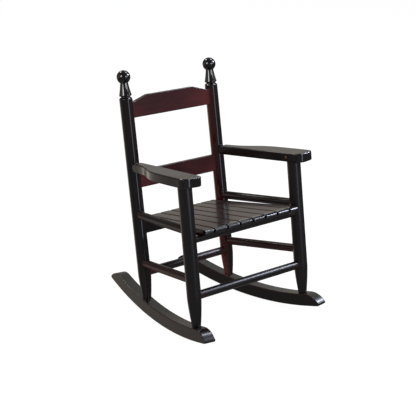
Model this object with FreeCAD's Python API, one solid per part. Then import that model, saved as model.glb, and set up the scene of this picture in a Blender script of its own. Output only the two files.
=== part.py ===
import FreeCAD, Part
import math
import os

# A child's slatted rocking chair: turned posts and rungs, two toed rockers, flat arms and a fanned seat.
# Millimetres and degrees. +Z is up, the sitter faces -Y, left and right are the sitter's own.
# The origin is on the floor, midway between the points where the rockers touch it at rest.

Vector = FreeCAD.Vector

# Stance of the posts on the rockers, measured from the point where the rockers touch the floor
front_post_spread = 333.0
back_post_spread = 260.4
front_foot_ahead = 161.3
back_foot_behind = 61.8
front_lean = 9.63
back_lean = 10.89
chair_height = 564.0

# Rockers
rocker_radius = 800.0
rocker_height = 29.0
rocker_thickness = 28.5
rocker_reach = 221.0
rocker_roll_radius = 45.0
rocker_tip_radius = 4.0
rocker_edge_round = 1.5

# Posts
back_post_diameter = 31.0
front_post_diameter = 32.2
foot_diameter = 19.4
foot_tenon_length = 12.0
back_taper_length = 58.0
front_taper_length = 66.0
taper_middle_share = 0.62
arm_tenon_diameter = 19.0
arm_tenon_length = 13.0

# Turned finial, measured down from the middle of the ball
ball_diameter = 32.1
finial_neck_diameter = 18.6
bell_length = 31.0
bell_diameter = 29.4
bell_middle_share = 0.42
bell_lip = 2.4
groove_diameter = 22.0
groove_width = 2.2
shoulder_chamfer = 3.6

# Rungs, with the heights of their middles on the post axes
rung_diameter = 19.6
rung_tenon_diameter = 13.0
rung_tenon_reach = 3.0
rung_housing_margin = 1.2
upper_rung_front_height = 262.4
upper_rung_back_height = 230.7
lower_rung_front_height = 153.0
lower_rung_back_height = 116.5
front_rung_height = 116.1
rear_rung_height = 93.7

# Seat, with the heights of its top on the post axes
seat_front_height = 261.7
seat_back_height = 222.4
seat_front_overhang = 31.0
seat_back_overhang = 5.6
seat_front_clearance = 11.6
seat_back_clearance = 6.9
slat_count = 8
outer_slat_front_share = 0.724
outer_slat_back_share = 0.397
slat_gap = 3.0
slat_thickness = 11.0
slat_edge_round = 1.8
slat_nose_round = 8.6
seat_corner_share = 0.8

# Seat rails
front_rail_diameter = 19.6
front_rail_flat = 1.0
front_rail_back_reach = 16.0
front_rail_back_height = 15.0
rear_rail_height = 27.0
rear_rail_thickness = 15.0

# Back boards, with the places of their edges on the back post axes
crest_bottom_drop = 110.4
crest_end_drop = 73.7
crest_top_drop = 62.3
crest_flat_share = 0.526
crest_shoulder_share = 0.822
crest_thickness = 15.0
lower_slat_bottom_height = 292.3
lower_slat_top_height = 331.6
lower_slat_thickness = 13.0
board_tenon_length = 9.0
board_edge_round = 2.0

# Arms, with the heights of their undersides on the post axes
arm_front_height = 363.6
arm_back_height = 333.0
arm_thickness = 21.2
arm_front_reach = 41.3
arm_front_outer_width = 27.0
arm_front_inner_width = 27.0
arm_bulge_width = 32.0
arm_back_outer_width = 10.5
arm_back_inner_width = 11.0
arm_curve_start_share = 0.84
arm_curve_end_share = 0.31
arm_corner_round = 18.0
arm_edge_round = 2.5
arm_back_tenon_diameter = 13.0
arm_back_tenon_length = 9.0
arm_back_inset = 2.5

# Fasteners
rocker_screw_shank = 4.5
rocker_screw_head = 9.0
rocker_screw_head_height = 3.0
rocker_screw_sink = 6.0
rocker_screw_bite = 24.0
slat_screw_shank = 3.2
slat_screw_head = 6.5
slat_screw_head_height = 2.4
slat_screw_bite = 6.5
front_rail_screw_sink = 5.0
rear_rail_screw_sink = 9.0
arm_pin_shank = 3.6
arm_pin_head = 7.0
arm_pin_head_height = 2.2
arm_pin_bite = 8.0
arm_pin_behind = 4.0

# Fits
fit_clearance = 0.1
end_clearance = 0.4
overrun = 60.0
along_share = 0.9

# Values that follow from the sizes above
half_front = front_post_spread / 2
half_back = back_post_spread / 2
toe = math.atan2(half_front - half_back, front_foot_ahead + back_foot_behind)
rocker_line_x = half_front - front_foot_ahead * math.tan(toe)
rocker_back_way = Vector(-math.sin(toe), math.cos(toe), 0)
rocker_outward = Vector(math.cos(toe), math.sin(toe), 0)
rocker_centre = Vector(rocker_line_x, 0, rocker_radius)
across = Vector(1, 0, 0)
up = Vector(0, 0, 1)


def foot_point(behind):
    """Point where a post's axis meets the top of the rocker, at a distance behind the rocking point."""
    radius = rocker_radius - rocker_height
    distance = behind / math.cos(toe)
    return rocker_centre + rocker_back_way * distance - up * math.sqrt(radius ** 2 - distance ** 2)


front_foot = foot_point(-front_foot_ahead)
back_foot = foot_point(back_foot_behind)
front_way = Vector(0, math.sin(math.radians(front_lean)), math.cos(math.radians(front_lean)))
back_way = Vector(0, math.sin(math.radians(back_lean)), math.cos(math.radians(back_lean)))


def front_axis(height):
    return front_foot + front_way * ((height - front_foot.z) / front_way.z)


def back_axis(height):
    return back_foot + back_way * ((height - back_foot.z) / back_way.z)


def unit(vector):
    return vector * (1 / vector.Length)


def mirrored(shape):
    return shape.mirror(Vector(0, 0, 0), across)


def on_middle(point):
    return Vector(0, point.y, point.z)


def rod(start, end, diameter):
    way = end - start
    return Part.makeCylinder(diameter / 2, way.Length, start, way)


def framed(shape, origin, x_way, z_way):
    """Moves a shape from its drawing frame to a frame with the given origin, x direction and z direction."""
    y_way = z_way.cross(x_way)
    y_way.normalize()
    x_true = y_way.cross(z_way)
    x_true.normalize()
    z_true = x_true.cross(y_way)
    turn = FreeCAD.Matrix(
        x_true.x, y_way.x, z_true.x, origin.x,
        x_true.y, y_way.y, z_true.y, origin.y,
        x_true.z, y_way.z, z_true.z, origin.z,
        0, 0, 0, 1,
    )
    moved = shape.copy()
    moved.Placement = FreeCAD.Placement(turn)
    return moved


def line(a, b):
    return Part.LineSegment(a, b).toShape()


def arc(a, b, c):
    return Part.Arc(a, b, c).toShape()


def bezier(*poles):
    curve = Part.BezierCurve()
    curve.setPoles(list(poles))
    return curve.toShape()


def s_curve(a, b):
    """Curve between two points whose ends both run along x."""
    middle = (a.x + b.x) / 2
    return bezier(a, Vector(middle, a.y, a.z), Vector(middle, b.y, b.z), b)


def face_of(edges):
    return Part.Face(Part.Wire(Part.__sortEdges__(edges)))


def runs_along(edge, way):
    """Tells whether an edge starts out along a direction."""
    return abs(edge.tangentAt(edge.FirstParameter).dot(way)) > along_share


def is_sharp(shape, edge):
    """Tells whether the two faces beside an edge meet at an angle there."""
    faces = shape.ancestorsOfType(edge, Part.Face)
    middle = edge.valueAt((edge.FirstParameter + edge.LastParameter) / 2)
    normals = [face.normalAt(*face.Surface.parameter(middle)) for face in faces]
    return len(normals) == 2 and normals[0].dot(normals[1]) < along_share


def rounded(shape, size, chosen):
    edges = [edge for edge in shape.Edges if chosen(edge)]
    return shape.makeFillet(size, edges)


# Seat plane
seat_front_point = on_middle(front_axis(seat_front_height))
seat_back_point = on_middle(back_axis(seat_back_height))
seat_way = seat_front_point - seat_back_point
seat_way.normalize()
seat_normal = across.cross(seat_way)
if seat_normal.z < 0:
    seat_normal = seat_normal * -1
seat_length = (seat_front_point - seat_back_point).Length
front_rail_depth = slat_thickness + front_rail_diameter / 2 - front_rail_flat
rear_rail_depth = slat_thickness + rear_rail_height / 2


def below_seat(axis, depth):
    """Point of a post axis at a depth under the seat's top, measured square to the seat."""
    low = axis(0)
    way = axis(chair_height) - low
    share = (-depth - (low - seat_front_point).dot(seat_normal)) / way.dot(seat_normal)
    return low + way * share


front_rail_end = below_seat(front_axis, front_rail_depth)
rear_rail_end = below_seat(back_axis, rear_rail_depth)


# Rungs, each drawn between two post axis points, with a housed tenon at both ends
def housing_floor(post_diameter, diameter):
    """Distance from a post's axis at which a rung of the given diameter is wholly inside the post."""
    return math.sqrt((post_diameter / 2) ** 2 - (diameter / 2) ** 2) - rung_housing_margin


def rung(start, end, start_post, end_post, diameter, extra=0.0, end_extra=0.0):
    way = end - start
    way.normalize()
    floor_a = start + way * (housing_floor(start_post, diameter) - end_extra)
    floor_b = end - way * (housing_floor(end_post, diameter) - end_extra)
    tenon_a = start + way * (rung_tenon_reach - end_extra)
    tenon_b = end - way * (rung_tenon_reach - end_extra)
    body = rod(floor_a, floor_b, diameter + 2 * extra)
    tenon = rod(tenon_a, tenon_b, rung_tenon_diameter + 2 * extra)
    return body.fuse(tenon).removeSplitter()


def socket(*ends):
    return rung(*ends, extra=fit_clearance, end_extra=end_clearance)


upper_side_ends = (
    back_axis(upper_rung_back_height), front_axis(upper_rung_front_height),
    back_post_diameter, front_post_diameter, rung_diameter,
)
lower_side_ends = (
    back_axis(lower_rung_back_height), front_axis(lower_rung_front_height),
    back_post_diameter, front_post_diameter, rung_diameter,
)


def cross_ends(point, post_diameter, diameter):
    return (Vector(-point.x, point.y, point.z), point, post_diameter, post_diameter, diameter)


front_rung_ends = cross_ends(front_axis(front_rung_height), front_post_diameter, rung_diameter)
rear_rung_ends = cross_ends(back_axis(rear_rung_height), back_post_diameter, rung_diameter)
front_rail_ends = cross_ends(front_rail_end, front_post_diameter, front_rail_diameter)


slat_length = seat_length + seat_front_overhang + seat_back_overhang


def seat_edge(share):
    """Sideways place of the seat's edge, clear of the posts, at a share of the way back."""
    at_front_post = half_front - front_post_diameter / 2 - seat_front_clearance
    at_back_post = half_back - back_post_diameter / 2 - seat_back_clearance
    way_back = (slat_length * share - seat_front_overhang) / seat_length
    return at_front_post + (at_back_post - at_front_post) * way_back


def slat_edge(step, share):
    """Sideways place of the line between two slats, at a share of the way from the front end back."""
    front_pitch = seat_edge(0) / (slat_count // 2 - 1 + outer_slat_front_share)
    back_pitch = seat_edge(1) / (slat_count // 2 - 1 + outer_slat_back_share)
    return step * (front_pitch + (back_pitch - front_pitch) * share)


def share_back(point):
    """Share of the way from the seat's front end to its back end at which a point lies."""
    return ((seat_front_point - point).dot(seat_way) + seat_front_overhang) / slat_length


front_rail_share = share_back(front_rail_end)
rear_rail_share = share_back(rear_rail_end)


def seat_point(side, share, depth):
    """Point of the seat: sideways place, share of the way back from the front end, depth under the top."""
    front = seat_front_point + seat_way * seat_front_overhang
    return front - seat_way * (slat_length * share) + across * side - seat_normal * depth


def slat_sides(number, share):
    """Inner and outer side of a slat counted outward from the middle of the seat."""
    inner = slat_edge(number, share) + slat_gap / 2
    outer = slat_edge(number + 1, share) - slat_gap / 2
    if number == slat_count // 2 - 1:
        outer = seat_edge(share)
    return inner, outer


def slat_screw_places(number):
    places = []
    for share, depth, sink in (
        (front_rail_share, front_rail_depth + front_rail_diameter / 2, front_rail_screw_sink),
        (rear_rail_share, slat_thickness + rear_rail_height, rear_rail_screw_sink),
    ):
        inner, outer = slat_sides(number, share)
        places.append(((inner + outer) / 2, share, depth - sink))
    return places


def slat_screw(side, share, depth, extra=0.0):
    head_foot = seat_point(side, share, depth + extra)
    head_top = seat_point(side, share, depth - slat_screw_head_height - extra)
    tip = seat_point(side, share, slat_thickness - slat_screw_bite - extra)
    head = rod(head_foot, head_top, slat_screw_head + 2 * extra)
    return head.fuse(rod(head_foot, tip, slat_screw_shank + 2 * extra)).removeSplitter()


def slat_screw_hole(side, share, depth):
    head_foot = seat_point(side, share, depth)
    outside = seat_point(side, share, depth + overrun)
    mouth = rod(head_foot, outside, slat_screw_head + 2 * fit_clearance)
    return slat_screw(side, share, depth, fit_clearance).fuse(mouth)


def slat(number):
    front_inner, front_outer = slat_sides(number, 0)
    back_inner, back_outer = slat_sides(number, 1)
    corners = [
        seat_point(front_inner, 0, slat_thickness),
        seat_point(front_outer, 0, slat_thickness),
        seat_point(back_outer, 1, slat_thickness),
        seat_point(back_inner, 1, slat_thickness),
    ]
    board = Part.Face(Part.makePolygon(corners + corners[:1])).extrude(seat_normal * slat_thickness)
    front = seat_point(0, 0, 0)
    if number == slat_count // 2 - 1:
        corner = seat_point(back_outer, 1, slat_thickness / 2)
        corner_round = (back_outer - back_inner) * seat_corner_share
        board = rounded(board, corner_round, lambda edge: (edge.CenterOfMass - corner).Length < slat_gap)
    board = rounded(board, slat_nose_round, lambda edge: at_upper_front(edge, front))
    board = rounded(board, slat_edge_round, lambda edge: is_sharp(board, edge))
    for place in slat_screw_places(number):
        board = board.cut(slat_screw_hole(*place))
    return board


def at_upper_front(edge, front):
    """Tells whether an edge lies across the front end of the seat, at its top."""
    off = edge.CenterOfMass - front
    beside = abs(off.dot(seat_way)) + abs(off.dot(seat_normal))
    return runs_along(edge, across) and beside < slat_gap


def front_seat_rail():
    """Rail with a round front, a crown planed flat under the slats and a squared back between the posts."""
    body = rung(*front_rail_ends)
    flat_middle = seat_point(0, front_rail_share, slat_thickness)
    inside = front_post_spread - front_post_diameter - 2 * end_clearance
    corner = Vector(-inside / 2, -front_rail_diameter / 2, 0)
    crown = Part.makeBox(inside, front_rail_diameter, front_rail_diameter, corner)
    body = body.cut(framed(crown, flat_middle, across, seat_normal))
    low = Vector(-inside / 2, 0, -front_rail_back_height)
    back = Part.makeBox(inside, front_rail_back_reach, front_rail_back_height, low)
    back = rounded(back, board_edge_round, lambda edge: runs_along(edge, across)
                   and edge.CenterOfMass.y > 0 and edge.CenterOfMass.z < 0)
    body = body.fuse(framed(back, flat_middle, across, seat_normal)).removeSplitter()
    return cut_screw_holes(body)


def cut_screw_holes(body):
    for number in range(slat_count // 2):
        for place in slat_screw_places(number):
            hole = slat_screw_hole(*place)
            body = body.cut(hole).cut(mirrored(hole))
    return body


# Boards of the back, drawn across the chair between the back posts
def board_half_length(post_diameter, thickness):
    return math.sqrt((post_diameter / 2) ** 2 - (thickness / 2) ** 2)


def back_board(outline, thickness, edge_round):
    """Board with the given outline of (sideways, height) points, its middle plane on the back post axes."""
    points = [on_middle(back_axis(height)) + across * side for side, height in outline]
    forward = back_way.cross(across)
    face = Part.Face(Part.makePolygon(points + points[:1]))
    face.translate(forward * (-thickness / 2))
    body = face.extrude(forward * thickness)
    if edge_round > 0:
        body = rounded(body, edge_round, lambda edge: runs_along(edge, across))
    return body


tenon_end = half_back - board_half_length(back_post_diameter, crest_thickness) + board_tenon_length
crest_flat_end = half_back * crest_flat_share
crest_shoulder_end = half_back * crest_shoulder_share


def crest_rail(extra=0.0, end_extra=0.0):
    end = tenon_end + end_extra
    bottom = chair_height - crest_bottom_drop - extra
    shoulder = chair_height - crest_end_drop + extra
    top = chair_height - crest_top_drop + extra
    outline = [
        (-end, bottom),
        (end, bottom),
        (end, shoulder),
        (crest_shoulder_end, shoulder),
        (crest_flat_end, top),
        (-crest_flat_end, top),
        (-crest_shoulder_end, shoulder),
        (-end, shoulder),
    ]
    return back_board(outline, crest_thickness + 2 * extra, 0 if extra else board_edge_round)


def lower_back_slat(extra=0.0, end_extra=0.0):
    end = tenon_end + end_extra
    outline = [
        (-end, lower_slat_bottom_height - extra),
        (end, lower_slat_bottom_height - extra),
        (end, lower_slat_top_height + extra),
        (-end, lower_slat_top_height + extra),
    ]
    return back_board(outline, lower_slat_thickness + 2 * extra, 0 if extra else board_edge_round)


def rear_seat_rail_blank(extra=0.0, end_extra=0.0):
    length = 2 * (tenon_end + end_extra)
    depth = rear_rail_thickness + 2 * extra
    height = rear_rail_height + 2 * extra
    block = Part.makeBox(length, depth, height, Vector(-length / 2, -depth / 2, -height / 2))
    return framed(block, on_middle(rear_rail_end), across, seat_normal)


def rear_seat_rail():
    body = rear_seat_rail_blank()
    body = rounded(body, board_edge_round, lambda edge: runs_along(edge, across)
                   and (edge.CenterOfMass - rear_rail_end).dot(seat_normal) < 0)
    return cut_screw_holes(body)


# Arms, drawn with x forward along the arm, y outward and z up, from the front post's axis
arm_front_point = front_axis(arm_front_height)
arm_back_point = back_axis(arm_back_height)
arm_length = (arm_front_point - arm_back_point).Length
arm_forward = unit(arm_front_point - arm_back_point)
arm_inward = unit(arm_forward.cross(up))
arm_up = arm_inward.cross(arm_forward)


def arm_face():
    heel = arm_length - back_post_diameter / 2 + arm_back_inset
    back_outer = Vector(-heel, arm_back_outer_width, 0)
    curve_start = Vector(-arm_length * arm_curve_start_share, arm_back_outer_width, 0)
    bulge = Vector(-arm_length * arm_curve_end_share, arm_bulge_width, 0)
    front_outer = Vector(arm_front_reach, arm_front_outer_width, 0)
    front_inner = Vector(arm_front_reach, -arm_front_inner_width, 0)
    back_inner = Vector(-heel, -arm_back_inner_width, 0)
    third = (front_outer - bulge) * (1 / 3)
    return face_of([
        line(back_outer, curve_start),
        s_curve(curve_start, bulge),
        bezier(bulge, bulge + Vector(third.x, 0, 0), front_outer - third, front_outer),
        line(front_outer, front_inner),
        line(front_inner, back_inner),
        line(back_inner, back_outer),
    ])


def arm_inner_side(along):
    """Sideways place of the arm's inner side, at a distance ahead of the front post's axis."""
    heel = arm_length - back_post_diameter / 2 + arm_back_inset
    share = (along + heel) / (arm_front_reach + heel)
    return -arm_back_inner_width - (arm_front_inner_width - arm_back_inner_width) * share


def arm_pin(extra=0.0):
    """Pin through the arm's inner side into the front post's tenon, its head flush with the side."""
    start = Vector(-arm_pin_behind, arm_inner_side(-arm_pin_behind) - extra, arm_thickness / 2)
    neck = Vector(start.x, start.y + arm_pin_head_height + 2 * extra, start.z)
    tip = Vector(start.x, arm_pin_bite - arm_tenon_diameter / 2 + extra, start.z)
    head = rod(start, neck, arm_pin_head + 2 * extra)
    shank = rod(start, tip, arm_pin_shank + 2 * extra)
    return framed(head.fuse(shank).removeSplitter(), arm_front_point, arm_forward, arm_up)


def arm_tenon(extra=0.0, end_extra=0.0):
    start = arm_front_point - front_way * front_post_diameter
    end = arm_front_point + front_way * (arm_tenon_length + end_extra)
    return rod(start, end, arm_tenon_diameter + 2 * extra)


def arm_back_tenon(extra=0.0, end_extra=0.0):
    middle = arm_back_point + arm_up * (arm_thickness / 2)
    end = middle + arm_forward * (back_post_diameter / 2 - arm_back_tenon_length - end_extra)
    start = middle + arm_forward * back_post_diameter
    return rod(start, end, arm_back_tenon_diameter + 2 * extra)


def arm():
    body = arm_face().extrude(up * arm_thickness)
    heel = body.BoundBox.XMin
    body = rounded(body, arm_corner_round, lambda edge: runs_along(edge, up) and edge.CenterOfMass.x > 0)
    body = rounded(body, arm_thickness / 2 - fit_clearance,
                   lambda edge: not runs_along(edge, up) and edge.CenterOfMass.x < heel + fit_clearance)
    body = rounded(body, arm_edge_round, lambda edge: is_sharp(body, edge))
    body = framed(body, arm_front_point, arm_forward, arm_up)
    cope = rod(back_axis(0), back_axis(chair_height), back_post_diameter + 2 * fit_clearance)
    body = body.cut(cope)
    body = body.fuse(arm_back_tenon()).removeSplitter()
    body = body.cut(arm_tenon(fit_clearance, end_clearance))
    return body.cut(arm_pin(fit_clearance))


# Posts, drawn upright from the foot's seat on the rocker and then leant back
def taper_edges(radius, taper_length):
    foot = foot_diameter / 2
    middle = foot + (radius - foot) * taper_middle_share
    return arc(Vector(foot, 0, 0), Vector(middle, 0, taper_length / 2), Vector(radius, 0, taper_length))


def post_placed(edges, foot, way):
    solid = face_of(edges).revolve(Vector(0, 0, 0), up, 360)
    if solid.Volume < 0:
        solid.reverse()
    return framed(solid, foot, across, way)


def front_post_blank():
    radius = front_post_diameter / 2
    top = (arm_front_height - front_foot.z) / front_way.z + radius
    low = -foot_tenon_length
    foot = foot_diameter / 2
    edges = [
        line(Vector(0, 0, low), Vector(foot, 0, low)),
        line(Vector(foot, 0, low), Vector(foot, 0, 0)),
        taper_edges(radius, front_taper_length),
        line(Vector(radius, 0, front_taper_length), Vector(radius, 0, top)),
        line(Vector(radius, 0, top), Vector(0, 0, top)),
        line(Vector(0, 0, top), Vector(0, 0, low)),
    ]
    body = post_placed(edges, front_foot, front_way)
    block = Part.makeBox(overrun, overrun, overrun, Vector(-overrun / 2, -overrun / 2, 0))
    body = body.cut(framed(block, arm_front_point, arm_forward, arm_up))
    return body.fuse(arm_tenon()).removeSplitter()


def finial_edges(radius, ball_middle, start):
    """Edges of the finial's outline from the post's side up to the top of the ball."""
    ball = ball_diameter / 2
    neck = finial_neck_diameter / 2
    bell = bell_diameter / 2
    groove = groove_diameter / 2
    neck_top = ball_middle - math.sqrt(ball ** 2 - neck ** 2)
    bell_low = neck_top - bell_length + bell_lip
    lip = bell_low - bell_lip
    groove_low = lip - groove_width
    shoulder = groove_low - shoulder_chamfer
    flare = (bell - neck) * (1 - bell_middle_share) ** 2
    waist = Vector(neck + flare, 0, neck_top - (neck_top - bell_low) * bell_middle_share)
    lip_skew = bell_lip / math.sqrt(2)
    lip_inner = Vector(bell - bell_lip, 0, lip)
    lip_middle = Vector(lip_inner.x + lip_skew, 0, bell_low - lip_skew)
    return [
        line(Vector(radius, 0, start), Vector(radius, 0, shoulder)),
        line(Vector(radius, 0, shoulder), Vector(radius - shoulder_chamfer, 0, groove_low)),
        line(Vector(radius - shoulder_chamfer, 0, groove_low), Vector(groove, 0, groove_low)),
        line(Vector(groove, 0, groove_low), Vector(groove, 0, lip)),
        line(Vector(groove, 0, lip), lip_inner),
        arc(lip_inner, lip_middle, Vector(bell, 0, bell_low)),
        arc(Vector(bell, 0, bell_low), waist, Vector(neck, 0, neck_top)),
        arc(Vector(neck, 0, neck_top), Vector(ball, 0, ball_middle), Vector(0, 0, ball_middle + ball)),
    ]


def back_post_blank():
    radius = back_post_diameter / 2
    ball_middle = (chair_height - ball_diameter / 2 - back_foot.z) / back_way.z
    low = -foot_tenon_length
    foot = foot_diameter / 2
    edges = [
        line(Vector(0, 0, low), Vector(foot, 0, low)),
        line(Vector(foot, 0, low), Vector(foot, 0, 0)),
        taper_edges(radius, back_taper_length),
    ]
    edges += finial_edges(radius, ball_middle, back_taper_length)
    edges.append(line(Vector(0, 0, ball_middle + ball_diameter / 2), Vector(0, 0, low)))
    return post_placed(edges, back_foot, back_way)


def rocker_screw(foot, way, extra=0.0):
    bottom = foot - way * (rocker_height - rocker_screw_sink + extra)
    neck = bottom + way * (rocker_screw_head_height + 2 * extra)
    tip = foot + way * (rocker_screw_bite - foot_tenon_length + extra)
    head = rod(bottom, neck, rocker_screw_head + 2 * extra)
    return head.fuse(rod(bottom, tip, rocker_screw_shank + 2 * extra)).removeSplitter()


def rocker_screw_hole(foot, way):
    bottom = foot - way * (rocker_height - rocker_screw_sink)
    mouth = rod(bottom, bottom - way * overrun, rocker_screw_head + 2 * fit_clearance)
    return rocker_screw(foot, way, fit_clearance).fuse(mouth)


def front_post():
    body = front_post_blank()
    for hollow in (
        socket(*upper_side_ends),
        socket(*lower_side_ends),
        socket(*front_rung_ends),
        socket(*front_rail_ends),
        rocker_screw_hole(front_foot, front_way),
        arm_pin(fit_clearance),
    ):
        body = body.cut(hollow)
    return body


def back_post():
    body = back_post_blank()
    for hollow in (
        socket(*upper_side_ends),
        socket(*lower_side_ends),
        socket(*rear_rung_ends),
        crest_rail(fit_clearance, end_clearance),
        lower_back_slat(fit_clearance, end_clearance),
        rear_seat_rail_blank(fit_clearance, end_clearance),
        arm_back_tenon(fit_clearance, end_clearance),
        rocker_screw_hole(back_foot, back_way),
    ):
        body = body.cut(hollow)
    return body


# Rockers, each a bent board whose ends roll over at the top
def rocker_polar(radius, angle):
    """Point of the rocker's middle plane at a radius from its centre, an angle behind the rocking point."""
    return rocker_centre + rocker_back_way * (radius * math.sin(angle)) - up * (radius * math.cos(angle))


def rolled_end(way):
    """Points of one end: start, middle and end of its roll, then middle and end of the small tip round."""
    top_radius = rocker_radius - rocker_height
    roll, tip = rocker_roll_radius, rocker_tip_radius
    tip_distance = rocker_radius - tip
    roll_distance = top_radius + roll
    tip_angle = math.asin((rocker_reach - tip) / tip_distance)
    squares = roll_distance ** 2 + tip_distance ** 2 - (roll - tip) ** 2
    roll_angle = tip_angle - math.acos(squares / (2 * roll_distance * tip_distance))
    roll_middle = rocker_polar(roll_distance, roll_angle * way)
    tip_middle = rocker_polar(tip_distance, tip_angle * way)
    start = rocker_polar(top_radius, roll_angle * way)
    corner = rocker_polar(rocker_radius, tip_angle * way)
    to_start = unit(start - roll_middle)
    to_tip = unit(tip_middle - roll_middle)
    to_corner = unit(corner - tip_middle)
    return [
        start,
        roll_middle + unit(to_start + to_tip) * roll,
        roll_middle + to_tip * roll,
        tip_middle + unit(to_tip + to_corner) * tip,
        corner,
    ]


def rocker():
    front = rolled_end(-1)
    back = rolled_end(1)
    top = rocker_polar(rocker_radius - rocker_height, 0)
    bottom = rocker_polar(rocker_radius, 0)
    edges = [arc(front[0], top, back[0]), arc(front[4], bottom, back[4])]
    for points in (front, back):
        edges.append(arc(points[0], points[1], points[2]))
        edges.append(arc(points[2], points[3], points[4]))
    face = face_of(edges)
    face.translate(rocker_outward * (-rocker_thickness / 2))
    body = face.extrude(rocker_outward * rocker_thickness)
    body = rounded(body, rocker_edge_round, lambda edge: is_sharp(body, edge))
    for foot, way in ((front_foot, front_way), (back_foot, back_way)):
        seat = rod(foot - way * foot_tenon_length, foot + way * overrun, foot_diameter + 2 * fit_clearance)
        body = body.cut(seat).cut(rocker_screw_hole(foot, way))
    return body


def both_sides(shapes):
    return Part.makeCompound([half for shape in shapes for half in (shape, mirrored(shape))])


def all_nodes():
    nodes = {}
    for name, shape in (
        ("back_post", back_post()),
        ("front_post", front_post()),
        ("rocker", rocker()),
        ("arm", arm()),
        ("upper_side_rung", rung(*upper_side_ends)),
        ("lower_side_rung", rung(*lower_side_ends)),
    ):
        nodes["left_" + name] = shape
        nodes["right_" + name] = mirrored(shape)
    nodes["front_rung"] = rung(*front_rung_ends)
    nodes["rear_rung"] = rung(*rear_rung_ends)
    nodes["front_seat_rail"] = front_seat_rail()
    nodes["rear_seat_rail"] = rear_seat_rail()
    nodes["crest_rail"] = crest_rail()
    nodes["lower_back_slat"] = lower_back_slat()
    middle = slat_count // 2
    for number in range(middle):
        board = slat(number)
        nodes["seat_slat_%d" % (middle + 1 + number)] = board
        nodes["seat_slat_%d" % (middle - number)] = mirrored(board)
    nodes["rocker_screws"] = both_sides([
        rocker_screw(front_foot, front_way),
        rocker_screw(back_foot, back_way),
    ])
    nodes["arm_pins"] = both_sides([arm_pin()])
    nodes["slat_screws"] = both_sides([
        slat_screw(*place) for number in range(middle) for place in slat_screw_places(number)
    ])
    return nodes


def main():
    os.makedirs("parts", exist_ok=True)
    for name, shape in sorted(all_nodes().items()):
        shape.exportStep("parts/%s.step" % name)
        print(name, "solids", len(shape.Solids), "volume", round(shape.Volume), "valid", shape.isValid())


main()
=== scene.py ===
import math
import bmesh
import bpy
import numpy as np
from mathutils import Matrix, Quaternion, Vector


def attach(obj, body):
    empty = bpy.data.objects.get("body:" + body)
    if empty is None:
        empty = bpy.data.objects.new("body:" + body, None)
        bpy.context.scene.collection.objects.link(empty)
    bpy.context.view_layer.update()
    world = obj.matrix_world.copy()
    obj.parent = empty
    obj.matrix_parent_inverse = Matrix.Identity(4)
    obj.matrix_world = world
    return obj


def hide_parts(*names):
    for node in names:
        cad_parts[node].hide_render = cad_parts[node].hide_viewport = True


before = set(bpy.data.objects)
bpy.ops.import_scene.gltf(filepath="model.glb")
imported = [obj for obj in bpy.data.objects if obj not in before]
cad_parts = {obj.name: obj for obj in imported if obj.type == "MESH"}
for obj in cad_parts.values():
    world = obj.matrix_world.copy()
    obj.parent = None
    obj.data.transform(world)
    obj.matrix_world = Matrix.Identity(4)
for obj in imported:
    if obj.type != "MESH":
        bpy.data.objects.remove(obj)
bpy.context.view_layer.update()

mm = 0.001  # every size below is in millimetres and becomes metres when a mesh is put in
across = np.array([1.0, 0.0, 0.0])  # towards the sitter's left
rearward = np.array([0.0, 1.0, 0.0])
upright = np.array([0.0, 0.0, 1.0])
flip = np.array([-1.0, 1.0, 1.0])  # makes a left piece into its twin on the right


# where the posts stand on the rockers, how many degrees they lean, and the heights that several pieces share
stance = {
    "frontSpread": 333.0, "backSpread": 260.4, "frontFoot": 161.3, "backFoot": 61.8,
    "frontLean": 9.63, "backLean": 10.89, "height": 564.0,
    "rockerRadius": 800.0, "rockerHeight": 29.0, "seatFront": 261.7, "seatBack": 222.4,
    "armFront": 363.6, "armBack": 333.0,
}


def unit(v):
    return np.asarray(v, float) / np.linalg.norm(v)


halfFront = stance["frontSpread"] / 2
halfBack = stance["backSpread"] / 2
# the rockers close in behind by the toe angle
toe = math.atan2(halfFront - halfBack, stance["frontFoot"] + stance["backFoot"])
rockerX = halfFront - stance["frontFoot"] * math.tan(toe)
rockerBack = np.array([-math.sin(toe), math.cos(toe), 0.0])
rockerOut = np.array([math.cos(toe), math.sin(toe), 0.0])


# a foot lies on the rocker's top arc: as far along it as asked, and as high as the circle is there
def footPoint(behind):
    along = behind / math.cos(toe)
    radius = stance["rockerRadius"] - stance["rockerHeight"]
    height = stance["rockerRadius"] - math.sqrt(radius ** 2 - along ** 2)
    return np.array([rockerX, 0, height]) + rockerBack * along


# direction of a post that leans back: the angle's sine to the rear and its cosine up
def leaning(degrees):
    return np.array([0, math.sin(math.radians(degrees)), math.cos(math.radians(degrees))])


frontFoot = footPoint(-stance["frontFoot"])
backFoot = footPoint(stance["backFoot"])
frontWay = leaning(stance["frontLean"])
backWay = leaning(stance["backLean"])


# point of a post's axis at a height: the foot, moved along the lean by the rise over the lean's upward share
def frontAxis(z):
    return frontFoot + frontWay * ((z - frontFoot[2]) / frontWay[2])


def backAxis(z):
    return backFoot + backWay * ((z - backFoot[2]) / backWay[2])


# the same height midway between the left post and the right one
def middleOf(p):
    return p * np.array([0.0, 1.0, 1.0])


# arc through three points of a plane, as a row of points about the centre equally far from all three
def arcThrough(a, b, c, count):
    a, b, c = (np.asarray(p, float) for p in (a, b, c))
    m = 2 * np.array([b - a, c - a])
    centre = np.linalg.solve(m, [b @ b - a @ a, c @ c - a @ a])
    turns = [math.atan2(*(p - centre)[::-1]) for p in (a, b, c)]
    sweep = (turns[2] - turns[0]) % (2 * math.pi)
    if (turns[1] - turns[0]) % (2 * math.pi) > sweep:
        sweep -= 2 * math.pi
    t = turns[0] + np.linspace(0, sweep, count)
    return centre + np.linalg.norm(a - centre) * np.stack([np.cos(t), np.sin(t)], 1)


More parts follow.
